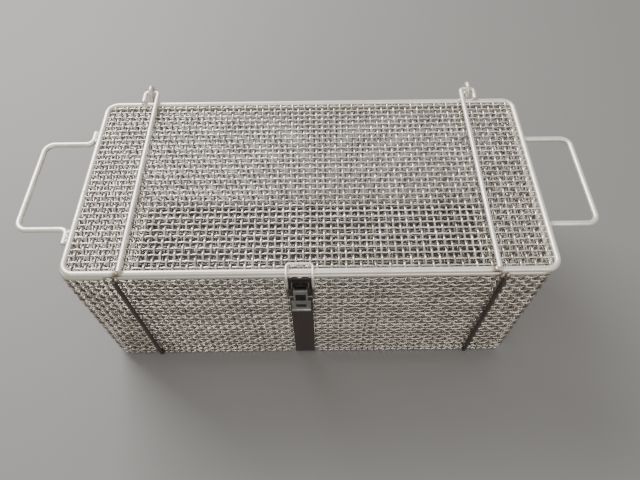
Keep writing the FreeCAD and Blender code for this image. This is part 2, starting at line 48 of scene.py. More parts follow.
# where the round bars cross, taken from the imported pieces
rimLow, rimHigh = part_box("rim_frame")
rimMid = (rimLow + rimHigh) / 2
barWire = rimHigh.z - rimLow.z
lidLow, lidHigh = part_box("lid_frame")
lidMid = (lidLow + lidHigh) / 2

# the place is measured from the floor under the middle of the rim, and the angles are degrees
view = {
    "place": (11.4, -306.1, 530.6), "tilt": 33.2, "turn": 0.11, "roll": -0.78, "lens": 30.03, "sensor": 36.0}


def setCamera(size):
    data = bpy.data.cameras.new("camera")
    data.lens = size["lens"]
    data.sensor_width = size["sensor"]
    camera = bpy.data.objects.new("camera", data)
    scene.collection.objects.link(camera)
    turn = Matrix.Rotation(math.radians(size["turn"]), 4, "Z")
    tilt = Matrix.Rotation(math.radians(size["tilt"]), 4, "X")
    roll = Matrix.Rotation(math.radians(size["roll"]), 4, "Z")
    place = Vector((rimMid.x, rimMid.y, 0)) + Vector(size["place"]) * mm
    camera.matrix_world = Matrix.Translation(place) @ turn @ tilt @ roll
    scene.camera = camera


setCamera(view)
print("camera placed")


# Adds a node; a socket among the inputs is linked, and anything else is set as that input's value.
def addNode(tree, kind, inputs=None, **settings):
    node = tree.nodes.new(kind)
    for name, setting in settings.items():
        setattr(node, name, setting)
    for key, source in (inputs or {}).items():
        if isinstance(source, bpy.types.NodeSocket):
            tree.links.new(source, node.inputs[key])
        else:
            node.inputs[key].default_value = source
    return node


def sums(tree, operation, *terms):
    return addNode(tree, "ShaderNodeMath", dict(enumerate(terms)), operation=operation).outputs[0]


def vectors(tree, operation, *terms):
    return addNode(tree, "ShaderNodeVectorMath", dict(enumerate(terms)), operation=operation).outputs[0]


def scaled(tree, vector, factor):
    node = addNode(tree, "ShaderNodeVectorMath", {0: vector, "Scale": factor}, operation="SCALE")
    return node.outputs[0]


def newTree(name, kind, inputs, outputs):
    tree = bpy.data.node_groups.new(name, kind)
    for title, socketType in inputs.items():
        tree.interface.new_socket(title, in_out="INPUT", socket_type="NodeSocket" + socketType)
    for title, socketType in outputs.items():
        tree.interface.new_socket(title, in_out="OUTPUT", socket_type="NodeSocket" + socketType)
    return tree, addNode(tree, "NodeGroupInput").outputs, addNode(tree, "NodeGroupOutput").inputs


surfaceNoise = {"mottleDetail": 4.0, "grainDetail": 2.0, "spotsFrom": 0.38, "spotsTo": 0.66}


# Mottling and fine grain of drawn or rolled steel.
def buildSteelSurface():
    tree, given, out = newTree("steelSurface", "ShaderNodeTree", {
        "Vector": "Vector", "Tone": "Color", "Stain": "Color", "Mottle Scale": "Float", "Mottle": "Float",
        "Grain Scale": "Float", "Roughness": "Float", "Spread": "Float"},
        {"Colour": "Color", "Roughness": "Float", "Height": "Float"})
    mottle = addNode(tree, "ShaderNodeTexNoise", {
        "Vector": given["Vector"], "Scale": given["Mottle Scale"],
        "Detail": surfaceNoise["mottleDetail"]}).outputs["Fac"]
    grain = addNode(tree, "ShaderNodeTexNoise", {
        "Vector": given["Vector"], "Scale": given["Grain Scale"],
        "Detail": surfaceNoise["grainDetail"]}).outputs["Fac"]
    spots = addNode(tree, "ShaderNodeMapRange", {
        "Value": mottle, "From Min": surfaceNoise["spotsFrom"],
        "From Max": surfaceNoise["spotsTo"]}).outputs[0]
    amount = sums(tree, "MULTIPLY", spots, given["Mottle"])
    colour = addNode(tree, "ShaderNodeMix", {"Factor": amount, 6: given["Tone"], 7: given["Stain"]},
                     data_type="RGBA").outputs[2]
    speckle = sums(tree, "SUBTRACT", sums(tree, "ADD", grain, amount), 0.5)
    shift = sums(tree, "MULTIPLY", speckle, given["Spread"])
    tree.links.new(colour, out["Colour"])
    tree.links.new(sums(tree, "ADD", given["Roughness"], shift), out["Roughness"])
    tree.links.new(grain, out["Height"])
    return tree


heatTint = {"raggedScale": 420.0, "raggedness": 1.1, "core": 0.35}


# Heat tint round a weld; the place counts on the left and on the right alike.
def buildWeldHeat():
    tree, given, out = newTree("weldHeat", "ShaderNodeTree", {
        "Vector": "Vector", "Place": "Vector", "Reach": "Float", "Raggedness": "Float"}, {"Mask": "Float"})
    parts = addNode(tree, "ShaderNodeSeparateXYZ", {0: given["Vector"]}).outputs
    across = sums(tree, "ABSOLUTE", parts["X"])
    folded = addNode(tree, "ShaderNodeCombineXYZ", {"X": across, "Y": parts["Y"], "Z": parts["Z"]}).outputs[0]
    away = addNode(tree, "ShaderNodeVectorMath", {0: folded, 1: given["Place"]},
                   operation="DISTANCE").outputs["Value"]
    ragged = addNode(tree, "ShaderNodeTexNoise", {
        "Vector": given["Vector"], "Scale": heatTint["raggedScale"]}).outputs["Fac"]
    uneven = sums(tree, "MULTIPLY", sums(tree, "SUBTRACT", ragged, 0.5), given["Raggedness"])
    wide = sums(tree, "MULTIPLY", given["Reach"], sums(tree, "ADD", uneven, 1.0))
    share = sums(tree, "DIVIDE", away, wide)
    mask = addNode(tree, "ShaderNodeMapRange", {
        "Value": share, "From Min": 1.0, "From Max": heatTint["core"]},
        interpolation_type="SMOOTHSTEP").outputs[0]
    tree.links.new(mask, out["Mask"])
    return tree


steelSurface = buildSteelSurface()
weldHeat = buildWeldHeat()


def mixColour(tree, factor, first, second):
    node = addNode(tree, "ShaderNodeMix", {"Factor": factor, 6: first, 7: second}, data_type="RGBA")
    return node.outputs[2]


def rgb(red, green, blue):
    return (red, green, blue, 1.0)


# A steel finish. A look may add painted light and shade: a lit tone beyond a line along one axis, with the
# look's own tone standing for shade before that line. It may also add heat tints, and a tone for each wire.
def steelFinish(name, look):
    material = bpy.data.materials.new(name)
    material.use_nodes = True
    tree = material.node_tree
    shader = tree.nodes["Principled BSDF"]
    place = addNode(tree, "ShaderNodeTexCoord").outputs["Object"]
    stretch = look.get("stretch", (1, 1, 1))
    drawn = addNode(tree, "ShaderNodeMapping", {"Vector": place, "Scale": stretch}).outputs[0]
    tone = rgb(*look["tone"])
    # painted light and shade: the look's tone up to the line stands for shade, the lit tone beyond it for
    # light
    if "paintedLightFrom" in look:
        axis, start, end = look["paintedLightFrom"]
        along = addNode(tree, "ShaderNodeSeparateXYZ", {0: place}).outputs[axis]
        edge = addNode(tree, "ShaderNodeMapRange", {
            "Value": along, "From Min": start * mm, "From Max": end * mm}).outputs[0]
        tone = mixColour(tree, edge, tone, rgb(*look["paintedLightTone"]))
    surface = addNode(tree, "ShaderNodeGroup", node_tree=steelSurface)
    for key, source in {
            "Vector": drawn, "Tone": tone, "Stain": rgb(*look["stain"]), "Mottle Scale": look["mottleScale"],
            "Mottle": look["mottle"], "Grain Scale": look["grainScale"], "Roughness": look["roughness"],
            "Spread": look["spread"]}.items():
        if isinstance(source, bpy.types.NodeSocket):
            tree.links.new(source, surface.inputs[key])
        else:
            surface.inputs[key].default_value = source
    colour = surface.outputs["Colour"]
    if "wireTone" in look:
        own = addNode(tree, "ShaderNodeAttribute", attribute_name="wireTone").outputs["Fac"]
        share = sums(tree, "MULTIPLY", own, look["wireTone"])
        colour = mixColour(tree, share, colour, rgb(*look["stain"]))
    for spot, reach, tint in look.get("heat", []):
        heat = addNode(tree, "ShaderNodeGroup", node_tree=weldHeat)
        tree.links.new(place, heat.inputs["Vector"])
        heat.inputs["Place"].default_value = Vector(spot) * mm
        heat.inputs["Reach"].default_value = reach * mm
        heat.inputs["Raggedness"].default_value = heatTint["raggedness"]
        colour = mixColour(tree, heat.outputs["Mask"], colour, rgb(*tint))
    bump = addNode(tree, "ShaderNodeBump", {
        "Height": surface.outputs["Height"], "Strength": look["bump"], "Distance": look["bumpDepth"] * mm})
    tree.links.new(colour, shader.inputs["Base Color"])
    tree.links.new(surface.outputs["Roughness"], shader.inputs["Roughness"])
    tree.links.new(bump.outputs["Normal"], shader.inputs["Normal"])
    shader.inputs["Metallic"].default_value = look["metallic"]
    return material


def wear(node, material):
    nodes[node].data.materials.clear()
    nodes[node].data.materials.append(material)


creamTone = (0.88, 0.84, 0.75)
creamStain = (0.60, 0.55, 0.46)
# painted shade: these near-black tones on the skid rods are a painted reflection of a dark floor, not the
# rods' own colour
paintedShadeTone = (0.085, 0.07, 0.062)
paintedShadeStain = (0.15, 0.125, 0.105)

print("finishes ready")

# Cross wires run front to back and length wires side to side. A crimp is how far a wire swings to each
# side of the sheet's middle, and steps are the points of a path between two crossings.
weave = {
    "pitch": 5.9, "lidColumn": 5.78, "lidRow": 6.05, "crossWire": 2.0, "lengthWire": 1.6, "fold": 2.4,
    "sides": 6, "steps": 4, "deepCrimp": 1.25, "shallowCrimp": 0.45, "cornerAngle": 30.0, "waviness": 0.5,
    "waveScale": 14.0, "jitter": 0.22, "intoBar": 1.0,
    "look": {
        # painted shade: the basket's weave gets this darker tone and the lid's weave a lit tone below, though
        # both are the same steel
        "tone": (0.64, 0.60, 0.53), "stain": (0.20, 0.175, 0.15), "mottleScale": 60.0, "mottle": 0.45,
        "grainScale": 1500.0, "roughness": 0.24, "spread": 0.14, "bump": 0.25, "bumpDepth": 0.1,
        "wireTone": 0.5, "metallic": 1.0},
    "litLidTone": (0.93, 0.89, 0.82), "lidStain": (0.30, 0.265, 0.225)}


# Copies one wire's path side by side, crimps it over and under its crossings and gives it its thickness.
def buildWovenWires():
    tree, given, out = newTree("wovenWires", "GeometryNodeTree", {
        "Path": "Geometry", "Count": "Int", "Start": "Vector", "Step": "Vector", "Phase": "Float",
        "Phase Step": "Float", "Wire": "Float", "Sides": "Int", "Jitter": "Float",
        "Waviness": "Float", "Seed": "Int", "Material": "Material"}, {"Wires": "Geometry"})
    line = addNode(tree, "GeometryNodeMeshToCurve", {"Mesh": given["Path"]}).outputs[0]
    copies = addNode(tree, "GeometryNodeDuplicateElements", {"Geometry": line, "Amount": given["Count"]},
                     domain="SPLINE").outputs
    index = copies["Duplicate Index"]
    crossing = addNode(tree, "GeometryNodeInputNamedAttribute", {"Name": "crossing"}).outputs[0]
    outward = addNode(tree, "GeometryNodeInputNamedAttribute", {"Name": "outward"},
                      data_type="FLOAT_VECTOR").outputs[0]
    crimp = addNode(tree, "GeometryNodeInputNamedAttribute", {"Name": "crimp"}).outputs[0]
    own = addNode(tree, "FunctionNodeRandomValue", {"ID": index, "Seed": given["Seed"]},
                  data_type="FLOAT").outputs[1]
    count = sums(tree, "ADD", sums(tree, "ADD", crossing, given["Phase"]),
                 sums(tree, "MULTIPLY", index, given["Phase Step"]))
    swing = sums(tree, "MULTIPLY", sums(tree, "COSINE", sums(tree, "MULTIPLY", count, math.pi)), crimp)
    stray = sums(tree, "MULTIPLY", sums(tree, "SUBTRACT", own, 0.5), given["Jitter"])
    along = scaled(tree, vectors(tree, "NORMALIZE", given["Step"]), stray)
    shift = vectors(tree, "ADD", given["Start"], scaled(tree, given["Step"], index))
    shift = vectors(tree, "ADD", shift, vectors(tree, "ADD", along, scaled(tree, outward, swing)))
    placed = addNode(tree, "GeometryNodeSetPosition", {
        "Geometry": copies["Geometry"], "Offset": shift}).outputs[0]
    noise = addNode(tree, "ShaderNodeTexNoise", {
        "Scale": weave["waveScale"], "Detail": 1.0}).outputs["Color"]
    wave = scaled(tree, vectors(tree, "SUBTRACT", noise, (0.5, 0.5, 0.5)), given["Waviness"])
    waved = addNode(tree, "GeometryNodeSetPosition", {"Geometry": placed, "Offset": wave}).outputs[0]
    toned = addNode(tree, "GeometryNodeStoreNamedAttribute", {
        "Geometry": waved, "Name": "wireTone", "Value": own}, data_type="FLOAT", domain="POINT").outputs[0]
    ring = addNode(tree, "GeometryNodeCurvePrimitiveCircle", {
        "Resolution": given["Sides"], "Radius": sums(tree, "MULTIPLY", given["Wire"], 0.5)}).outputs[0]
    tube = addNode(tree, "GeometryNodeCurveToMesh", {
        "Curve": toned, "Profile Curve": ring, "Fill Caps": True}).outputs[0]
    smooth = addNode(tree, "GeometryNodeSetShadeSmooth", {0: tube}).outputs[0]
    real = addNode(tree, "GeometryNodeRealizeInstances", {0: smooth}).outputs[0]
    dressed = addNode(tree, "GeometryNodeSetMaterial", {
        "Geometry": real, "Material": given["Material"]}).outputs[0]
    tree.links.new(dressed, out["Wires"])
    return tree


wovenWires = buildWovenWires()
# the same steel twice: a shaded copy for the basket's weave and a lit copy for the lid's
shadedMeshSteel = steelFinish("shadedMeshSteel", weave["look"])
litLidSteel = steelFinish("litLidSteel", dict(weave["look"], tone=weave["litLidTone"], stain=weave["lidStain"]))


# the edge of the floor sheet, turned up outside the walls
band = {
    "out": 3.1, "top": 13.5, "under": 2.75, "fold": 3.5, "tuck": 8.0, "crimp": 0.45, "clear": 1.4,
    "levels": (6.9, 12.2), "upSteps": 6, "bendSteps": 4}


# Runs a Geometry Nodes tree on a base mesh and keeps the result as a plain mesh.
def grow(name, base, tree, values):
    piece = bpy.data.objects.new(name, base)
    scene.collection.objects.link(piece)
    modifier = piece.modifiers.new(tree.name, "NODES")
    modifier.node_group = tree
    sockets = {item.name: item.identifier for item in tree.interface.items_tree if item.in_out == "INPUT"}
    for title, setting in values.items():
        modifier[sockets[title]] = setting
    evaluated = piece.evaluated_get(bpy.context.evaluated_depsgraph_get())
    mesh = bpy.data.meshes.new_from_object(evaluated)
    piece.modifiers.clear()
    piece.data = mesh
    return piece


def wirePath(name, samples, closed=False):
    mesh = bpy.data.meshes.new(name)
    points = [sample[0] for sample in samples]
    edges = [(i, i + 1) for i in range(len(points) - 1)]
    if closed:
        edges.append((len(points) - 1, 0))
    mesh.from_pydata(points, edges, [])
    mesh.attributes.new("outward", "FLOAT_VECTOR", "POINT")
    mesh.attributes.new("crossing", "FLOAT", "POINT")
    mesh.attributes.new("crimp", "FLOAT", "POINT")
    for i, sample in enumerate(samples):
        mesh.attributes["crimp"].data[i].value = sample[3] * mm
        mesh.attributes["outward"].data[i].vector = sample[1]
        mesh.attributes["crossing"].data[i].value = sample[2]
    return mesh


def lay(name, path, count, start, step, phase, phaseStep=1.0, seed=1, wire="crossWire", steel=shadedMeshSteel):
    return grow(name, path, wovenWires, {
        "Count": count, "Start": start, "Step": step, "Phase": float(phase), "Phase Step": float(phaseStep),
        "Wire": weave[wire] * mm, "Sides": weave["sides"],
        "Jitter": weave["jitter"] * mm, "Waviness": weave["waviness"] * mm, "Seed": seed, "Material": steel})


def joined(name, pieces):
    bm = bmesh.new()
    for piece in pieces:
        bm.from_mesh(piece.data)
    mesh = bpy.data.meshes.new(name)
    bm.to_mesh(mesh)
    bm.free()
    mesh.materials.append(pieces[0].data.materials[0])
    whole = bpy.data.objects.new(name, mesh)
    scene.collection.objects.link(whole)
    for piece in pieces:
        bpy.data.objects.remove(piece)
    return whole


# Down one wall, round the fold, across the floor and up the other wall, about the basket's middle.
def troughPath(name, toward, half, floorZ, topZ, floorCount, wallCount, floorCrimp):
    fold = weave["fold"] * mm
    flat = half - fold
    floorPitch = (flat + fold * math.pi / 2) / floorCount
    wallPitch = (topZ - floorZ - fold) / wallCount
    samples = []
    last = (floorCount + wallCount) * weave["steps"]
    for k in range(-last, last + 1):
        crossing = k / weave["steps"]
        side = -1 if crossing < 0 else 1
        reach = abs(crossing) * floorPitch
        if reach <= flat:
            across, up, lean = reach, floorZ, 0.0
        elif abs(crossing) <= floorCount:
            lean = (reach - flat) / fold
            across = flat + fold * math.sin(lean)
            up = floorZ + fold * (1 - math.cos(lean))
        else:
            lean = math.pi / 2
            across, up = half, floorZ + fold + (abs(crossing) - floorCount) * wallPitch
        out = toward * (side * math.sin(lean)) - Vector((0, 0, math.cos(lean)))
        crimp = weave[floorCrimp] + (weave["deepCrimp"] - weave[floorCrimp]) * lean / (math.pi / 2)
        samples.append((toward * (side * across) + Vector((0, rimMid.y, up)), out, crossing, crimp))
    return wirePath(name, samples)


# A point of the basket's outline seen from above and the way outward there, by its distance from the
# front middle.
def outlinePoint(distance, halfX, halfY, corner):
    runs = [(halfX - corner, 0), (corner * math.pi / 2, 1), (2 * (halfY - corner), 0),
            (corner * math.pi / 2, 1), (2 * (halfX - corner), 0), (corner * math.pi / 2, 1),
            (2 * (halfY - corner), 0), (corner * math.pi / 2, 1), (halfX - corner, 0)]
    spot, heading = Vector((0, -halfY, 0)), 0.0
    distance = distance % sum(length for length, turns in runs)
    for length, turns in runs:
        used = min(distance, length)
        along = Vector((math.cos(heading), math.sin(heading), 0))
        left = Vector((-along.y, along.x, 0))
        if turns:
            turn = used / corner
            spot = spot + along * (corner * math.sin(turn)) + left * (corner * (1 - math.cos(turn)))
            heading += turn
        else:
            spot = spot + along * used
        distance -= used
        if distance <= 0:
            break
    return spot, Vector((math.sin(heading), -math.cos(heading), 0))


# From the band's top edge down outside the wall, round the fold and a little way under the floor.
def bandPath(toward, half, pitch):
    out, low, fold, top = half + band["out"] * mm, band["under"] * mm, band["fold"] * mm, band["top"] * mm
    drop, upSteps, bendSteps = top - low - fold, band["upSteps"], band["bendSteps"]
    bends = [k * math.pi / (2 * bendSteps) for k in range(1, bendSteps + 1)]
    line = [(out, top - drop * k / upSteps, math.pi / 2, drop * k / upSteps) for k in range(upSteps + 1)]
    line += [(out - fold + fold * math.cos(a), low + fold - fold * math.sin(a), math.pi / 2 - a,
              drop + fold * a) for a in bends]
    line.append((out - fold - band["tuck"] * mm, low, 0.0, line[-1][3] + band["tuck"] * mm))
    return wirePath("bandPath", [
        (toward * across + Vector((0, rimMid.y, up)),
         toward * math.sin(lean) - Vector((0, 0, math.cos(lean))),
         gone / pitch, band["crimp"]) for across, up, lean, gone in line])


# The wires that stand clear of everything welded over the band, as first and last number of each run.
def openRuns(last, pitch, blocked):
    runs, first = [], None
    for i in range(-last, last + 2):
        free = i <= last and not any(low < i * pitch < high for low, high in blocked)
        if free and first is None:
            first = i
        if not free and first is not None:
            runs.append((first, i - 1))
            first = None
    return runs


def weaveBand(toward, half, along, last, pitch, covers):
    clear = (weave["crossWire"] / 2 + band["clear"]) * mm
    blocked = [(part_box(node)[0].x - clear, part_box(node)[1].x + clear) for node in covers]
    upright = bandPath(toward, half, pitch)
    pieces = []
    for first, end in openRuns(last, pitch, blocked):
        pieces.append(lay("bandWires", upright, end - first + 1, along * first * pitch, along * pitch, first,
                          seed=14))
        for row, level in enumerate(band["levels"]):
            steps = [first - 0.5 + k / weave["steps"] for k in range((end - first + 1) * weave["steps"] + 1)]
            across = wirePath("bandRow", [
                (toward * (half + band["out"] * mm) + along * (k * pitch)
                 + Vector((0, rimMid.y, level * mm)), toward, k, band["crimp"]) for k in steps])
            pieces.append(lay("bandRows", across, 1, (0, 0, 0), (0, 0, 0), row + 1, seed=15 + row,
                              wire="lengthWire"))
    return pieces


# Where the upright wires stand round the outline, from the front middle, and the whole way round.
def uprightStations(straightX, straightY, corner, lastX, lastY, pitchX, pitchY):
    intoCorner = corner * math.radians(weave["cornerAngle"])
    quarterTurn = corner * math.pi / 2
    bySide = straightX + quarterTurn
    stations = [i * pitchX for i in range(lastX + 1)]
    stations += [straightX + intoCorner, bySide - intoCorner]
    stations += [bySide + straightY + j * pitchY for j in range(-lastY, lastY + 1)]
    behind = bySide + 2 * straightY + quarterTurn + straightX
    stations += [behind - straightX - quarterTurn + intoCorner, behind - straightX - intoCorner]
    stations += [behind + i * pitchX for i in range(-lastX, 1)]
    stations += [2 * behind - station for station in stations[1:-1]][::-1]
    return stations, 2 * behind


# One level wire round the basket, in and out of the upright ones.
def hoopPath(stations, around, halfX, halfY, corner, level):
    samples = []
    for i, station in enumerate(stations):
        following = stations[i + 1] if i + 1 < len(stations) else around
        for k in range(weave["steps"]):
            share = k / weave["steps"]
            spot, out = outlinePoint(station + (following - station) * share, halfX, halfY, corner)
            samples.append((spot + Vector((0, rimMid.y, level)), out, i + share, weave["shallowCrimp"]))
    return wirePath("hoopPath", samples, closed=True)


def weaveBasket():
    sheetLow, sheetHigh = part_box("mesh_bottom")
    wallLow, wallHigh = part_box("mesh_front")
    sheet = sheetHigh.z - sheetLow.z
    halfX = (wallHigh.x - wallLow.x - sheet) / 2
    halfY = (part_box("mesh_back")[1].y - wallLow.y - sheet) / 2
    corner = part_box("mesh_left")[0].y - wallLow.y - sheet / 2
    straightX, straightY = halfX - corner, halfY - corner
    floorZ, topZ = (sheetLow.z + sheetHigh.z) / 2, wallHigh.z + weave["intoBar"] * mm
    fold, pitch = weave["fold"] * mm, weave["pitch"] * mm
    bent = fold * (math.pi / 2 - 1)
    countX = 2 * round((halfX + bent) / pitch / 2)
    countY = 2 * round((halfY + bent) / pitch / 2)
    countZ = round((topZ - floorZ - fold) / pitch)
    pitchX, pitchY = (halfX + bent) / countX, (halfY + bent) / countY
    pitchZ = (topZ - floorZ - fold) / countZ
    lastX, lastY = int(straightX / pitchX), int(straightY / pitchY)
    angle = math.radians(weave["cornerAngle"])
    near, far = corner * math.sin(angle), corner * math.cos(angle)
    x, y, z = Vector((1, 0, 0)), Vector((0, 1, 0)), Vector((0, 0, 1))
    cross = troughPath("crossPath", y, halfY, floorZ, topZ, countY, countZ, "deepCrimp")
    pieces = [lay("weave_cross_left", cross, lastX + 1, -x * lastX * pitchX, x * pitchX, -lastX, seed=3),
              lay("weave_cross_right", cross, lastX, x * pitchX, x * pitchX, 1, seed=4)]
    edge = troughPath("crossEdgePath", y, straightY + far, floorZ, topZ, countY, countZ, "deepCrimp")
    reach = straightX + near
    edges = lay("crossEdges", edge, 2, -x * reach, x * 2 * reach, lastX + 1, 2, seed=5)
    pieces[1] = joined("weave_cross_right", [pieces[1], edges])
    length = troughPath("lengthPath", x, halfX, floorZ, topZ, countX, countZ, "shallowCrimp")
    wires = lay("lengthWires", length, 2 * lastY + 1, -y * lastY * pitchY, y * pitchY, lastY + 1, seed=6,
                wire="lengthWire")
    edge = troughPath("lengthEdgePath", x, straightX + far, floorZ, topZ, countX, countZ, "shallowCrimp")
    reach = straightY + near
    edges = lay("lengthEdges", edge, 2, -y * reach, y * 2 * reach, lastY + 2, 2, seed=7, wire="lengthWire")
    pieces.append(joined("weave_length", [wires, edges]))
    stations, around = uprightStations(straightX, straightY, corner, lastX, lastY, pitchX, pitchY)
    hoop = hoopPath(stations, around, halfX, halfY, corner, floorZ + fold)
    lower = countZ // 2
    pieces.append(lay("weave_hoops_lower", hoop, lower, (0, 0, 0), z * pitchZ, 1, seed=8, wire="lengthWire"))
    pieces.append(lay("weave_hoops_upper", hoop, countZ - lower, z * lower * pitchZ, z * pitchZ, lower + 1,
                      seed=9, wire="lengthWire"))
    rods = ["skid_rod_left", "skid_rod_right"]
    turned = weaveBand(-y, halfY, x, lastX, pitchX, rods + ["front_strap"])
    turned += weaveBand(y, halfY, x, lastX, pitchX, rods)
    turned += weaveBand(-x, halfX, y, lastY, pitchY, []) + weaveBand(x, halfX, y, lastY, pitchY, [])
    pieces.append(joined("weave_band", turned))
    print("stations round the basket:", len(stations), "rings:", countZ, "columns:", 2 * lastX + 3)
    stoodFor = {
        "weave_cross_left": ["mesh_front", "mesh_back"],
        "weave_length": ["mesh_left", "mesh_right", "mesh_bottom"]}
    for piece in pieces:
        if piece.name in stoodFor:
            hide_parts(*stoodFor[piece.name])
        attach(piece, "basket")


# A wire straight across the lid, about the lid's middle.
def straightWire(name, along, half, pitch, z, crimp):
    last = math.floor(half / pitch * weave["steps"])
    steps = [k / weave["steps"] for k in range(-last, last + 1)]
    steps = [-half / pitch] + steps + [half / pitch]
    samples = [(along * (k * pitch) + Vector((lidMid.x, lidMid.y, z)), Vector((0, 0, 1)), k, weave[crimp])
               for k in steps]
    return wirePath(name, samples)


def weaveLid():
    low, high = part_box("lid_mesh")
    half = (high - low) / 2
    z = (low.z + high.z) / 2
    column, row = weave["lidColumn"] * mm, weave["lidRow"] * mm
    columns, rows = int(half.x / column), int(half.y / row)
    more = weave["intoBar"] * mm
    x, y = Vector((1, 0, 0)), Vector((0, 1, 0))
    cross = straightWire("lidCrossPath", y, half.y + more, row, z, "deepCrimp")
    length = straightWire("lidLengthPath", x, half.x + more, column, z, "shallowCrimp")
    pieces = [lay("lid_weave_cross", cross, 2 * columns + 1, -x * columns * column, x * column, -columns,
                  seed=11, steel=litLidSteel),
              lay("lid_weave_length", length, 2 * rows + 1, -y * rows * row, y * row, rows + 1, seed=12,
                  wire="lengthWire", steel=litLidSteel)]
    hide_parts("lid_mesh")
    for piece in pieces:
        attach(piece, "lid")


weaveBasket()
weaveLid()
print("mesh woven")

frameLook = {
    "tone": creamTone, "stain": creamStain, "mottleScale": 45.0, "mottle": 0.4, "grainScale": 1400.0,
    "roughness": 0.42, "spread": 0.16, "bump": 0.2, "bumpDepth": 0.08, "metallic": 0.7}
burn = (0.22, 0.17, 0.125)
frontBar = (rimLow.y + barWire / 2) / mm
# painted shade: the rim is the same bar as the lid frame, painted darker where it lies under the lid's bar;
# its heat tint is real
shadedRimLook = dict(
    frameLook, tone=(0.60, 0.56, 0.48), roughness=0.36, heat=[((157.0, frontBar - 1.0, 158.0), 8.0, burn)])
frameLook["heat"] = [((150.5, frontBar, 163.4), 6.5, burn)]
handleLook = dict(frameLook, heat=[], tone=(0.88, 0.84, 0.76), mottleScale=60.0)
lidRodLook = dict(frameLook, heat=[], tone=(0.90, 0.86, 0.79), mottleScale=70.0)
# painted light and shade on the skid rods: near black at the front as a painted reflection of a dark floor,
# lit tone from 60 mm back
skidLook = dict(
    frameLook, heat=[], tone=paintedShadeTone, stain=paintedShadeStain, paintedLightFrom=("Y", 60.0, 90.0),
    paintedLightTone=(0.78, 0.74, 0.67))
# the strap's near-black tone is partly a darker mill finish and partly painted shade, a painted reflection of
# a dark floor
strapLook = dict(
    frameLook, heat=[], tone=(0.09, 0.072, 0.064), stain=(0.05, 0.04, 0.036), mottleScale=30.0,
    roughness=0.36, stretch=(1.0, 1.0, 0.06), grainScale=2600.0)
# the latch's near-black tone is partly a darker finish and partly painted shade, a painted reflection of a
# dark floor
latchLook = dict(
    frameLook, heat=[], tone=(0.045, 0.041, 0.036), stain=(0.02, 0.018, 0.016), mottleScale=120.0,
    roughness=0.4)
leverLook = dict(latchLook, tone=(0.27, 0.275, 0.25), stain=(0.14, 0.14, 0.125), roughness=0.3)
# painted shade on the bail: dark below 148 mm where it lies in shade, lit tone above 154 mm
bailLook = dict(
    frameLook, heat=[], tone=(0.10, 0.09, 0.08), paintedLightFrom=("Z", 148.0, 154.0),
    paintedLightTone=(0.84, 0.80, 0.72))

for node, look in {
        "rim_frame": shadedRimLook, "lid_frame": frameLook, "handle_left": handleLook, "handle_right": handleLook,
        "lid_rod_left": lidRodLook, "lid_rod_right": lidRodLook, "skid_rod_left": skidLook,
        "skid_rod_right": skidLook, "front_strap": strapLook, "latch_base": latchLook,
        "latch_lever": leverLook, "latch_bail": bailLook, "latch_pivot_pin": latchLook,
        "latch_rivet_upper": latchLook, "latch_rivet_lower": latchLook}.items():
    wear(node, steelFinish(node + "Finish", look))
print("frame dressed")

# each pressed piece with the body it rides on and its material slot; angles are degrees
pressed = {
    "merge": 0.002, "flat": 1.0, "angle": 40.0, "offset": 0.22, "segments": 2, "smooth": 35.0, "pieces": {
        "front_strap": ("basket", "strap_steel"), "latch_base": ("basket", "latch_steel"),
        "latch_lever": ("latch_lever", "latch_steel")}}


# Pressed and folded pieces get the small rounded edges that pressing leaves.
def soften(node, body, size):
    source = nodes[node]
    bm = bmesh.new()
    bm.from_mesh(source.data)
    bmesh.ops.remove_doubles(bm, verts=bm.verts, dist=size["merge"] * mm)
    bmesh.ops.dissolve_limit(bm, angle_limit=math.radians(size["flat"]), verts=bm.verts, edges=bm.edges)
    sharp = [edge for edge in bm.edges if len(edge.link_faces) == 2
             and edge.calc_face_angle(0) > math.radians(size["angle"])]
    bmesh.ops.bevel(bm, geom=sharp, offset=size["offset"] * mm, segments=size["segments"], profile=0.5,
                    affect="EDGES", clamp_overlap=True)
    bmesh.ops.triangulate(bm, faces=bm.faces)
    mesh = bpy.data.meshes.new(node + "_softened")
    bm.to_mesh(mesh)
    bm.free()
    mesh.shade_smooth()
    mesh.set_sharp_from_angle(angle=math.radians(size["smooth"]))
    piece = bpy.data.objects.new(node + "_softened", mesh)
    scene.collection.objects.link(piece)
    mesh.materials.append(source.data.materials[0])
    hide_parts(node)
    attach(piece, body)


for node, (body, slot) in pressed["pieces"].items():
    soften(node, body, pressed)
print("pressed pieces softened")

# each bead's place against the bar beside it, and its size
welds = {
    "detail": 3, "lumps": 1.1, "lumpScale": 900.0,
    "rodFront": {"out": 0.4, "up": 0.3, "size": (1.5, 1.3, 2.6)},
    "rodBack": {"out": 0.2, "size": (1.3, 1.2, 2.4)},
    "rodRun": {"aside": 2.2, "in": 0.6, "up": 0.4, "size": (2.6, 1.5, 2.3)},
    "handle": {"along": (1.5, 6.5, 11.0), "up": 1.5, "size": (1.5, 2.9, 1.2)},
    "strap": {"shares": (0.08, 0.5, 0.92), "in": 0.5, "down": 0.2, "size": (2.2, 1.4, 0.9)},
    "lidApart": 0.45, "lidUp": 0.2,
    "lidFront": {"out": 0.2, "size": (1.2, 1.9, 0.8)},
    "lidBack": {"size": (1.0, 1.6, 0.8)},
    "lidFar": {"in": 0.3, "size": (1.1, 1.7, 0.8)},
    "lidEnd": {"out": 0.9, "up": 0.3, "size": (2.0, 1.0, 0.9)},
    "butt": {"before": 14.0, "size": (2.66, 0.9, 2.66)},
    "look": {
        "tone": (0.74, 0.69, 0.60), "stain": (0.26, 0.20, 0.145), "mottleScale": 260.0, "mottle": 0.75,
        "grainScale": 1700.0, "roughness": 0.42, "spread": 0.25, "bump": 0.5, "bumpDepth": 0.25,
        "metallic": 0.8}}


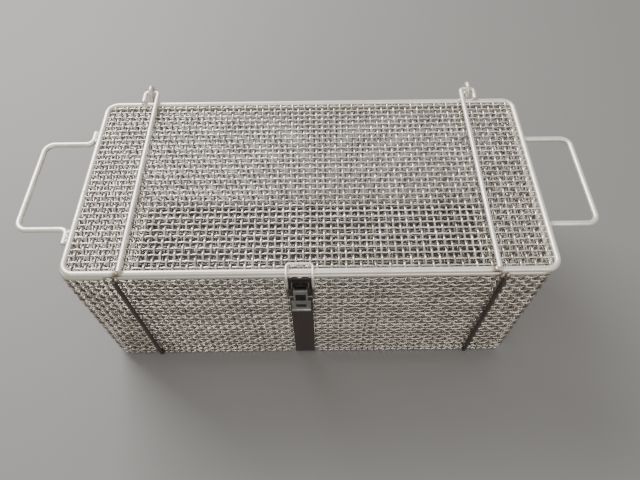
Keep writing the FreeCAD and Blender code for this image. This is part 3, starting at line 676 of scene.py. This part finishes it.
# One lumpy drop of weld metal at each point of the base mesh, as large as the point's own size says.
def buildWeldBeads():
    tree, given, out = newTree("weldBeads", "GeometryNodeTree", {
        "Points": "Geometry", "Detail": "Int", "Lumps": "Float", "Lump Scale": "Float",
        "Material": "Material"}, {"Beads": "Geometry"})
    drop = addNode(tree, "GeometryNodeMeshIcoSphere", {
        "Radius": 1.0, "Subdivisions": given["Detail"]}).outputs[0]
    size = addNode(tree, "GeometryNodeInputNamedAttribute", {"Name": "size"},
                   data_type="FLOAT_VECTOR").outputs[0]
    points = addNode(tree, "GeometryNodeMeshToPoints", {"Mesh": given["Points"]}).outputs[0]
    beads = addNode(tree, "GeometryNodeInstanceOnPoints", {
        "Points": points, "Instance": drop, "Scale": size}).outputs[0]
    real = addNode(tree, "GeometryNodeRealizeInstances", {0: beads}).outputs[0]
    lump = addNode(tree, "ShaderNodeTexNoise", {"Scale": given["Lump Scale"], "Detail": 1.0}).outputs["Color"]
    swell = scaled(tree, vectors(tree, "SUBTRACT", lump, (0.5, 0.5, 0.5)), given["Lumps"])
    rough = addNode(tree, "GeometryNodeSetPosition", {"Geometry": real, "Offset": swell}).outputs[0]
    smooth = addNode(tree, "GeometryNodeSetShadeSmooth", {0: rough}).outputs[0]
    dressed = addNode(tree, "GeometryNodeSetMaterial", {
        "Geometry": smooth, "Material": given["Material"]}).outputs[0]
    tree.links.new(dressed, out["Beads"])
    return tree


weldBeads = buildWeldBeads()
weldSteel = steelFinish("weldSteel", welds["look"])


def weld(name, body, beads):
    mesh = bpy.data.meshes.new(name)
    mesh.from_pydata([Vector(place) for place, size in beads], [], [])
    mesh.attributes.new("size", "FLOAT_VECTOR", "POINT")
    for i, (place, size) in enumerate(beads):
        mesh.attributes["size"].data[i].vector = Vector(size) * mm
    piece = grow(name, mesh, weldBeads, {
        "Detail": welds["detail"], "Lumps": welds["lumps"] * mm, "Lump Scale": welds["lumpScale"],
        "Material": weldSteel})
    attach(piece, body)


def weldBasket():
    beads = []
    spot = welds["rodFront"]
    behind = welds["rodBack"]
    for rod in ("skid_rod_left", "skid_rod_right"):
        low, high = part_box(rod)
        middle, half = (low.x + high.x) / 2, (high.x - low.x) / 2
        for side in (-1, 1):
            across = middle + side * half
            beads.append(((across, rimLow.y - spot["out"] * mm, rimMid.z + spot["up"] * mm), spot["size"]))
            beads.append(((across, rimHigh.y + behind["out"] * mm, rimMid.z), behind["size"]))
    # a larger run of weld beside the left rod
    spot = welds["rodRun"]
    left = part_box("skid_rod_left")[0].x - spot["aside"] * mm
    beads.append(((left, rimLow.y + spot["in"] * mm, rimMid.z + spot["up"] * mm), spot["size"]))
    spot = welds["handle"]
    for handle, side in (("handle_left", -1), ("handle_right", 1)):
        low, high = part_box(handle)
        inner = rimMid.x + side * (rimHigh.x - rimMid.x)
        for end, toward in ((low.y, 1), (high.y, -1)):
            for along in spot["along"]:
                for way in (1, -1):
                    place = (inner, end + toward * along * mm, rimMid.z + way * spot["up"] * mm)
                    beads.append((place, spot["size"]))
    spot = welds["strap"]
    low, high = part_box("front_strap")
    for share in spot["shares"]:
        across = low.x + (high.x - low.x) * share
        beads.append(((across, rimLow.y + spot["in"] * mm, high.z - spot["down"] * mm), spot["size"]))
    weld("welds_basket", "basket", beads)


def weldLid():
    beads = []
    front, back = lidLow.y + barWire / 2, lidHigh.y - barWire / 2
    first, second, third, last = welds["lidFront"], welds["lidBack"], welds["lidFar"], welds["lidEnd"]
    top = lidHigh.z + welds["lidUp"] * mm
    for rod, side in (("lid_rod_left", -1), ("lid_rod_right", 1)):
        low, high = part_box(rod)
        wire = high.z - low.z
        near = high.x - wire / 2 if side < 0 else low.x + wire / 2
        far = low.x + wire / 2 if side < 0 else high.x - wire / 2
        for way in (-1, 1):
            aside = way * wire * welds["lidApart"]
            beads.append(((near + aside, front - first["out"] * mm, top), first["size"]))
            beads.append(((near + aside, back, top), second["size"]))
            beads.append(((far + aside, back - third["in"] * mm, top), third["size"]))
        beads.append(((near, front - last["out"] * mm, lidHigh.z + last["up"] * mm), last["size"]))
    # the butt joint of the frame's bar, on the left side
    butt = welds["butt"]
    beads.append(((lidLow.x + barWire / 2, lidMid.y - butt["before"] * mm, lidMid.z), butt["size"]))
    weld("welds_lid", "lid", beads)


weldBasket()
weldLid()
print("welds laid")

studio = {
    "floor": 3000.0, "floorTone": (0.20, 0.193, 0.184), "floorRoughness": 0.65,
    "sky": (1.0, 0.985, 0.96), "horizon": (0.30, 0.292, 0.285), "skyFrom": -0.1, "skyTo": 0.75,
    "skyPower": 0.85, "lights": {
        "key": {"place": (-800.0, 900.0, 1150.0), "width": 1000.0, "depth": 800.0, "power": 42.0},
        "fill": {"place": (350.0, -1300.0, 1000.0), "width": 1300.0, "depth": 700.0, "power": 10.0}}}


def setStudio(size):
    mesh = bpy.data.meshes.new("floor")
    half = size["floor"] * mm / 2
    corners = [(-half, -half, 0), (half, -half, 0), (half, half, 0), (-half, half, 0)]
    mesh.from_pydata(corners, [], [(0, 1, 2, 3)])
    floor = bpy.data.objects.new("floor", mesh)
    scene.collection.objects.link(floor)
    material = bpy.data.materials.new("floorPaint")
    material.use_nodes = True
    shader = material.node_tree.nodes["Principled BSDF"]
    shader.inputs["Base Color"].default_value = rgb(*size["floorTone"])
    shader.inputs["Roughness"].default_value = size["floorRoughness"]
    mesh.materials.append(material)
    world = bpy.data.worlds.new("studio")
    world.use_nodes = True
    tree = world.node_tree
    up = addNode(tree, "ShaderNodeSeparateXYZ", {0: addNode(tree, "ShaderNodeTexCoord").outputs["Generated"]})
    share = addNode(tree, "ShaderNodeMapRange", {
        "Value": up.outputs["Z"], "From Min": size["skyFrom"], "From Max": size["skyTo"]})
    colour = mixColour(tree, share.outputs[0], rgb(*size["horizon"]), rgb(*size["sky"]))
    background = tree.nodes["Background"]
    tree.links.new(colour, background.inputs["Color"])
    background.inputs["Strength"].default_value = size["skyPower"]
    scene.world = world
    for name, lit in size["lights"].items():
        light = bpy.data.lights.new(name, "AREA")
        light.shape = "RECTANGLE"
        light.size = lit["width"] * mm
        light.size_y = lit["depth"] * mm
        light.energy = lit["power"]
        lamp = bpy.data.objects.new(name, light)
        scene.collection.objects.link(lamp)
        spot = Vector(lit["place"]) * mm
        aim = (-spot).to_track_quat("-Z", "Y").to_matrix().to_4x4()
        lamp.matrix_world = Matrix.Translation(spot) @ aim


setStudio(studio)
print("studio ready")
